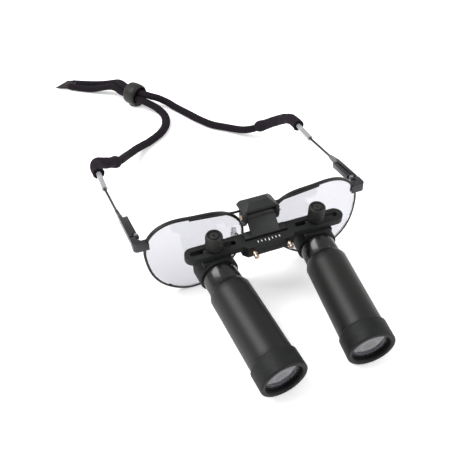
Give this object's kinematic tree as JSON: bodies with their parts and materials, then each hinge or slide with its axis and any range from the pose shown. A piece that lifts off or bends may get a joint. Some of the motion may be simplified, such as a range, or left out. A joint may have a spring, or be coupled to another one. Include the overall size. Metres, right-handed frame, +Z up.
{
  "type": "dental loupes",
  "caption": "Binocular flip-up loupes on a wire spectacle frame: two telescopes on a slotted bar with thumbscrews, folding temples and a soft neck retainer with a sliding lock.",
  "frame": {"origin": "centre of the base of the frame and telescopes, without the strap", "axes": "+Z up, -Y the way the wearer looks, +X towards the wearer's left"},
  "size_m": [0.1512, 0.3887, 0.0536],
  "materials": {
    "gunmetal": "satin",
    "lens": "polished clear",
    "black_frame": "satin black",
    "steel": "turned",
    "silicone": "translucent silicone",
    "clamp": "dark anodised",
    "brass": "machined",
    "bar_black": "matt black anodised",
    "knob_black": "knurled black anodised",
    "neck_gloss": "gloss black lacquer",
    "barrel_black": "satin black",
    "cap_black": "matt black",
    "optic": "coated",
    "tip_clear": "clear acetate",
    "sleeve_fabric": "knitted sleeve",
    "cord_fabric": "soft braided cord",
    "lock_rubber": "matt",
    "tab_leather": "stitched"
  },
  "bodies": {
    "front": {"rim_right": "black_frame", "rim_left": "black_frame", "lens_right": "lens", "lens_left": "lens", "nose_bridge": "black_frame", "brow_bar": "black_frame", "end_piece_right": "gunmetal", "end_piece_left": "gunmetal", "frame_screws": "steel", "pad_arms": "black_frame", "nose_pads": "silicone", "clamp_hood": "clamp", "clamp_back_plate": "clamp", "clamp_screws": "steel", "flip_hinge_pin": "steel", "hinge_end_screws": "brass", "cord_right": "cord_fabric", "cord_left": "cord_fabric", "end_tab": "tab_leather"},
    "temple_right": {"temple_arm_right": "gunmetal", "spring_box_right": "gunmetal", "hinge_plunger_right": "steel", "hinge_spring_right": "steel", "temple_tip_right": "tip_clear", "tip_sleeve_right": "sleeve_fabric"},
    "temple_left": {"temple_arm_left": "gunmetal", "spring_box_left": "gunmetal", "hinge_plunger_left": "steel", "hinge_spring_left": "steel", "temple_tip_left": "tip_clear", "tip_sleeve_left": "sleeve_fabric"},
    "flip": {"flip_plate": "clamp", "declination_pin": "steel"},
    "bar": {"cross_bar": "bar_black", "bar_screws": "brass"},
    "scope_right": {"scope_bracket_right": "bar_black", "neck_tube_right": "neck_gloss", "eyepiece_lenses_right": "optic", "prisms_right": "optic", "prism_cell_right": "bar_black", "barrel_right": "barrel_black", "objective_lens_right": "optic", "objective_ring_right": "bar_black", "objective_cap_right": "cap_black"},
    "scope_left": {"scope_bracket_left": "bar_black", "neck_tube_left": "neck_gloss", "eyepiece_lenses_left": "optic", "prisms_left": "optic", "prism_cell_left": "bar_black", "barrel_left": "barrel_black", "objective_lens_left": "optic", "objective_ring_left": "bar_black", "objective_cap_left": "cap_black"},
    "knob_right": {"thumb_knob_right": "knob_black", "knob_washer_right": "knob_black"},
    "knob_left": {"thumb_knob_left": "knob_black", "knob_washer_left": "knob_black"},
    "focus_ring_right": {"eyepiece_ring_right": "cap_black"},
    "focus_ring_left": {"eyepiece_ring_left": "cap_black"},
    "lock": {"cord_lock": "lock_rubber"}
  },
  "joints": [
    {"name": "temple_fold_right", "type": "hinge", "parent": "front", "child": "temple_right", "pos_m": [-0.0668, -0.01016, 0.03845], "axis": [0, -0.0288, -0.9996], "range_deg": [-6, 78], "deforming": ["cord_right"]},
    {"name": "temple_fold_left", "type": "hinge", "parent": "front", "child": "temple_left", "pos_m": [0.0668, -0.01016, 0.03845], "axis": [0, 0.0288, 0.9996], "range_deg": [-6, 88], "deforming": ["cord_left"]},
    {"name": "flip_up", "type": "hinge", "parent": "front", "child": "flip", "pos_m": [0, -0.02615, 0.04621], "axis": [-1, 0, 0], "range_deg": [0, 80]},
    {"name": "declination", "type": "hinge", "parent": "flip", "child": "bar", "pos_m": [0, -0.03213, 0.03585], "axis": [1, 0, 0], "range_deg": [-12, 8]},
    {"name": "ipd_slide_right", "type": "slide", "parent": "bar", "child": "scope_right", "axis": [-1, 0, 0], "range_m": [-0.005, 0.006]},
    {"name": "knob_turn_right", "type": "hinge", "parent": "scope_right", "child": "knob_right", "pos_m": [-0.0303, -0.03457, 0.04078], "axis": [0, -0.1262, 0.992], "continuous": true},
    {"name": "focus_turn_right", "type": "hinge", "parent": "scope_right", "child": "focus_ring_right", "pos_m": [-0.03068, -0.02782, 0.02329], "axis": [0.0837, -0.9885, -0.1258], "range_deg": [-60, 60]},
    {"name": "ipd_slide_left", "type": "slide", "parent": "bar", "child": "scope_left", "axis": [1, 0, 0], "range_m": [-0.005, 0.006]},
    {"name": "knob_turn_left", "type": "hinge", "parent": "scope_left", "child": "knob_left", "pos_m": [0.0303, -0.03457, 0.04078], "axis": [0, -0.1262, 0.992], "continuous": true},
    {"name": "focus_turn_left", "type": "hinge", "parent": "scope_left", "child": "focus_ring_left", "pos_m": [0.03068, -0.02782, 0.02329], "axis": [-0.0837, -0.9885, -0.1258], "range_deg": [-60, 60]},
    {"name": "lock_slide", "type": "slide", "parent": "front", "child": "lock", "axis": [-0.4695, 0.8829, 0], "range_m": [0, 0.008]}
  ]
}
